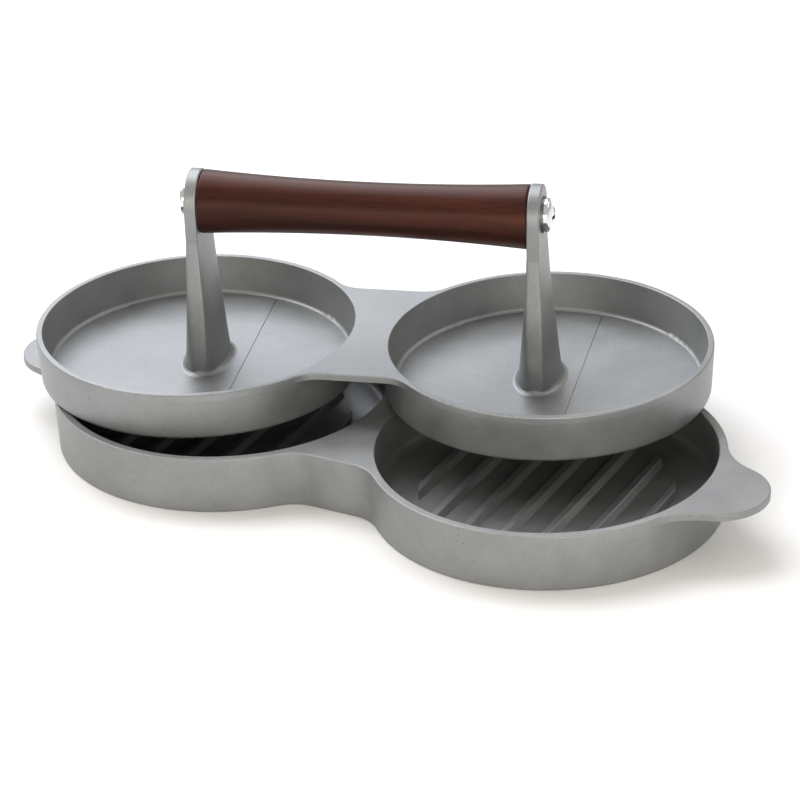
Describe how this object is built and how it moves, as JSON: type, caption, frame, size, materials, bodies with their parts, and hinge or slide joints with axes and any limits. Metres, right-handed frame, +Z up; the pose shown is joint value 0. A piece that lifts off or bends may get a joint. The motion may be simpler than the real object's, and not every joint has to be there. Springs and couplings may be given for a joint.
{
  "type": "patty press",
  "caption": "Twin hamburger patty press: ribbed cast base with finger tabs, and a loose cast press with two dishes on a bridge, carried by a turned wooden grip",
  "frame": {"origin": "centre of the lower casting's flat underside, midway between the two pockets", "axes": "+X along the row of pockets, towards a finger tab; +Z up out of the pockets; Y across"},
  "size_m": [0.2782, 0.1555, 0.0935],
  "materials": {
    "cast_aluminium_base": "satin sand casting, vibro-finished",
    "cast_aluminium_press": "satin sand casting, vibro-finished",
    "lacquered_wood": "dark red-brown stain under satin lacquer",
    "brass": "turned",
    "plated_washer": "zinc plated",
    "chrome_screw": "bright plated"
  },
  "bodies": {
    "base": {"base_casting": "cast_aluminium_base"},
    "press": {"press_casting": "cast_aluminium_press", "grip": "lacquered_wood", "insert_left": "brass", "insert_right": "brass", "washer_left": "plated_washer", "washer_right": "plated_washer", "screw_left": "chrome_screw", "screw_right": "chrome_screw"}
  },
  "joints": [
    {"name": "press_lift", "type": "slide", "parent": "base", "child": "press", "axis": [0, 0, 1], "range_m": [0, 0.08]}
  ]
}
